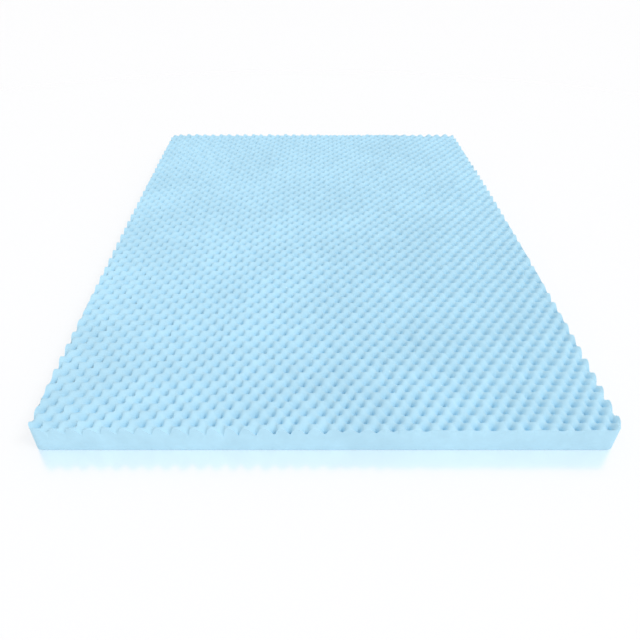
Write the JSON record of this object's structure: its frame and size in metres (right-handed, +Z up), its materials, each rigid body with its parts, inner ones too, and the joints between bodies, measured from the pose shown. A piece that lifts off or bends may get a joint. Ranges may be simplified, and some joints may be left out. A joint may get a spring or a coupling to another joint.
{
  "type": "egg-crate foam mattress topper",
  "caption": "Flat rectangular slab of convoluted foam: a bumpy egg-crate top over a flat underside, cut square with rounded corners.",
  "frame": {"origin": "centre of the flat underside, on the surface that the slab lies on", "axes": "+Z up, the way the bumps point; +Y along the length, from the foot edge to the head edge; +X across the width"},
  "size_m": [1.39, 1.905, 0.076],
  "materials": {
    "foam": "matt, light blue open-cell foam"
  },
  "bodies": {
    "root": {"foam_slab": "foam"}
  },
  "joints": []
}
